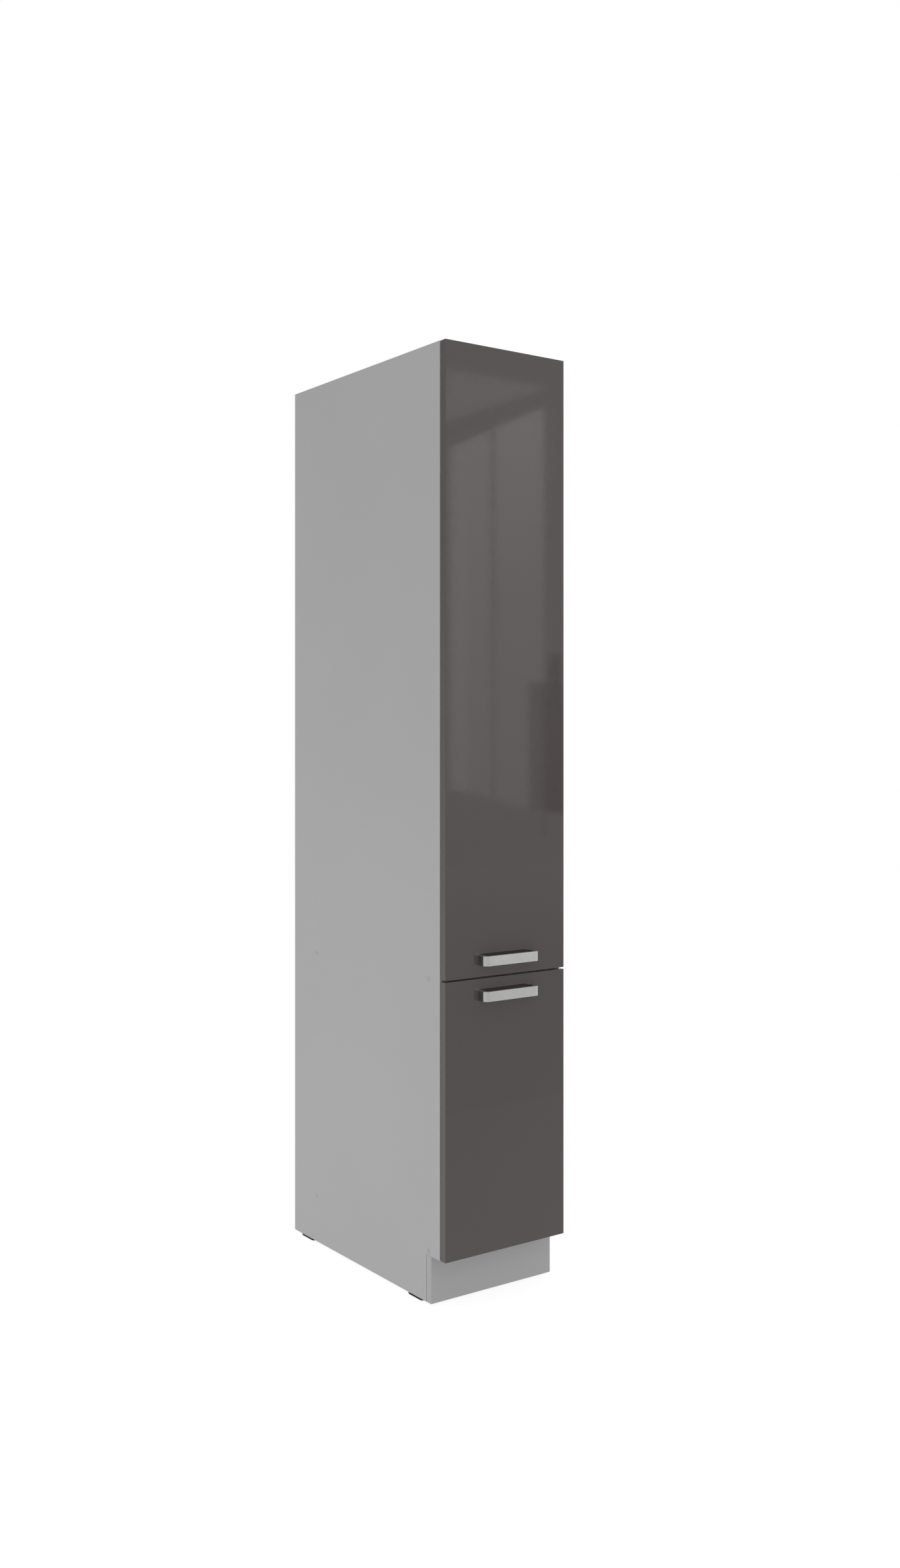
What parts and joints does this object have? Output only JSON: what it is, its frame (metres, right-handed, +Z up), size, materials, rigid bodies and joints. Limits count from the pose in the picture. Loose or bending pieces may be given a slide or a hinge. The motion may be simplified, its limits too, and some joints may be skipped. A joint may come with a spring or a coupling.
{
  "type": "pull out larder unit",
  "caption": "Tall narrow kitchen larder with two handled gloss fronts, each on a ball-bearing pull-out frame with hook-on trays.",
  "frame": {"origin": "on the floor, under the middle of the overall width and depth (handles included)", "axes": "+Z up along the height, -Y towards the person who pulls the fronts, +X to the right seen from the front"},
  "size_m": [0.3, 0.606, 1.885],
  "materials": {
    "carcass_board": "light grey melamine-faced chipboard, matt",
    "back_board": "light grey lacquered hardboard, matt",
    "plinth_board": "light grey melamine-faced chipboard, matt",
    "white_plastic": "off-white moulded plastic",
    "black_plastic": "black moulded plastic",
    "cap_plastic": "grey moulded plastic",
    "beech": "bare beech",
    "plated_steel": "bright zinc plate",
    "gloss_front": "graphite high-gloss lacquer on fibreboard",
    "satin_chrome": "satin chrome",
    "frame_coat": "silver-grey powder coat, satin",
    "nylon": "natural nylon",
    "tray_chrome": "bright chrome plate"
  },
  "bodies": {
    "carcass": {"side_panel_left": "carcass_board", "side_panel_right": "carcass_board", "bottom_panel": "carcass_board", "middle_shelf": "carcass_board", "top_panel": "carcass_board", "back_panel": "back_board", "plinth_board": "plinth_board", "plinth_blocks": "white_plastic", "glides": "black_plastic", "glide_nails": "plated_steel", "connecting_screws": "plated_steel", "screw_caps": "cap_plastic", "cam_fittings": "plated_steel", "dowels": "beech", "back_nails": "plated_steel", "wall_brackets": "plated_steel", "wood_screws": "plated_steel", "door_bumpers": "white_plastic", "upper_runner_base": "plated_steel", "lower_runner_base": "plated_steel", "upper_outer_runners": "plated_steel", "lower_outer_runners": "plated_steel", "upper_ceiling_rail": "plated_steel", "lower_ceiling_rail": "plated_steel"},
    "upper_pull_out": {"upper_front": "gloss_front", "upper_handle": "satin_chrome", "upper_handle_screws": "plated_steel", "upper_inner_runners": "plated_steel", "upper_carriage": "frame_coat", "upper_front_upright": "frame_coat", "upper_rear_upright": "frame_coat", "upper_top_bar": "frame_coat", "upper_front_brackets": "frame_coat", "upper_front_screws": "plated_steel", "upper_hook_pins": "plated_steel"},
    "upper_guide_roller": {"upper_guide_roller": "nylon"},
    "upper_runner_middles": {"upper_middle_runners": "plated_steel"},
    "upper_outer_cages": {"upper_outer_ball_cages": "plated_steel"},
    "upper_inner_cages": {"upper_inner_ball_cages": "plated_steel"},
    "upper_tray_1": {"upper_tray_1": "tray_chrome"},
    "upper_tray_2": {"upper_tray_2": "tray_chrome"},
    "upper_tray_3": {"upper_tray_3": "tray_chrome"},
    "upper_tray_4": {"upper_tray_4": "tray_chrome"},
    "lower_pull_out": {"lower_front": "gloss_front", "lower_handle": "satin_chrome", "lower_handle_screws": "plated_steel", "lower_inner_runners": "plated_steel", "lower_carriage": "frame_coat", "lower_front_upright": "frame_coat", "lower_rear_upright": "frame_coat", "lower_top_bar": "frame_coat", "lower_front_brackets": "frame_coat", "lower_front_screws": "plated_steel", "lower_hook_pins": "plated_steel"},
    "lower_guide_roller": {"lower_guide_roller": "nylon"},
    "lower_runner_middles": {"lower_middle_runners": "plated_steel"},
    "lower_outer_cages": {"lower_outer_ball_cages": "plated_steel"},
    "lower_inner_cages": {"lower_inner_ball_cages": "plated_steel"},
    "lower_tray_1": {"lower_tray_1": "tray_chrome"},
    "lower_tray_2": {"lower_tray_2": "tray_chrome"}
  },
  "joints": [
    {"name": "upper_slide", "type": "slide", "parent": "carcass", "child": "upper_pull_out", "axis": [0, -1, 0], "range_m": [0, 0.48]},
    {"name": "upper_middle_travel", "type": "slide", "parent": "carcass", "child": "upper_runner_middles", "axis": [0, -1, 0], "range_m": [0, 0.24]},
    {"name": "upper_outer_cage_travel", "type": "slide", "parent": "carcass", "child": "upper_outer_cages", "axis": [0, -1, 0], "range_m": [0, 0.12]},
    {"name": "upper_inner_cage_travel", "type": "slide", "parent": "carcass", "child": "upper_inner_cages", "axis": [0, -1, 0], "range_m": [0, 0.36]},
    {"name": "upper_roller_spin", "type": "hinge", "parent": "upper_pull_out", "child": "upper_guide_roller", "pos_m": [0, 0.25, 1.8567], "axis": [0, 0, 1], "range_deg": [0, 1940]},
    {"name": "upper_tray_1_lift", "type": "slide", "parent": "upper_pull_out", "child": "upper_tray_1", "axis": [0, 0, 1], "range_m": [0, 0.02]},
    {"name": "upper_tray_2_lift", "type": "slide", "parent": "upper_pull_out", "child": "upper_tray_2", "axis": [0, 0, 1], "range_m": [0, 0.02]},
    {"name": "upper_tray_3_lift", "type": "slide", "parent": "upper_pull_out", "child": "upper_tray_3", "axis": [0, 0, 1], "range_m": [0, 0.02]},
    {"name": "upper_tray_4_lift", "type": "slide", "parent": "upper_pull_out", "child": "upper_tray_4", "axis": [0, 0, 1], "range_m": [0, 0.02]},
    {"name": "lower_slide", "type": "slide", "parent": "carcass", "child": "lower_pull_out", "axis": [0, -1, 0], "range_m": [0, 0.48]},
    {"name": "lower_middle_travel", "type": "slide", "parent": "carcass", "child": "lower_runner_middles", "axis": [0, -1, 0], "range_m": [0, 0.24]},
    {"name": "lower_outer_cage_travel", "type": "slide", "parent": "carcass", "child": "lower_outer_cages", "axis": [0, -1, 0], "range_m": [0, 0.12]},
    {"name": "lower_inner_cage_travel", "type": "slide", "parent": "carcass", "child": "lower_inner_cages", "axis": [0, -1, 0], "range_m": [0, 0.36]},
    {"name": "lower_roller_spin", "type": "hinge", "parent": "lower_pull_out", "child": "lower_guide_roller", "pos_m": [0, 0.25, 0.6197], "axis": [0, 0, 1], "range_deg": [0, 1940]},
    {"name": "lower_tray_1_lift", "type": "slide", "parent": "lower_pull_out", "child": "lower_tray_1", "axis": [0, 0, 1], "range_m": [0, 0.02]},
    {"name": "lower_tray_2_lift", "type": "slide", "parent": "lower_pull_out", "child": "lower_tray_2", "axis": [0, 0, 1], "range_m": [0, 0.02]}
  ],
  "couplings": [
    {"joint": "upper_middle_travel", "follows": "upper_slide", "ratio": 0.5},
    {"joint": "upper_outer_cage_travel", "follows": "upper_slide", "ratio": 0.25},
    {"joint": "upper_inner_cage_travel", "follows": "upper_slide", "ratio": 0.75},
    {"joint": "upper_roller_spin", "follows": "upper_slide", "rad_per_m": 70.422},
    {"joint": "lower_middle_travel", "follows": "lower_slide", "ratio": 0.5},
    {"joint": "lower_outer_cage_travel", "follows": "lower_slide", "ratio": 0.25},
    {"joint": "lower_inner_cage_travel", "follows": "lower_slide", "ratio": 0.75},
    {"joint": "lower_roller_spin", "follows": "lower_slide", "rad_per_m": 70.422}
  ]
}
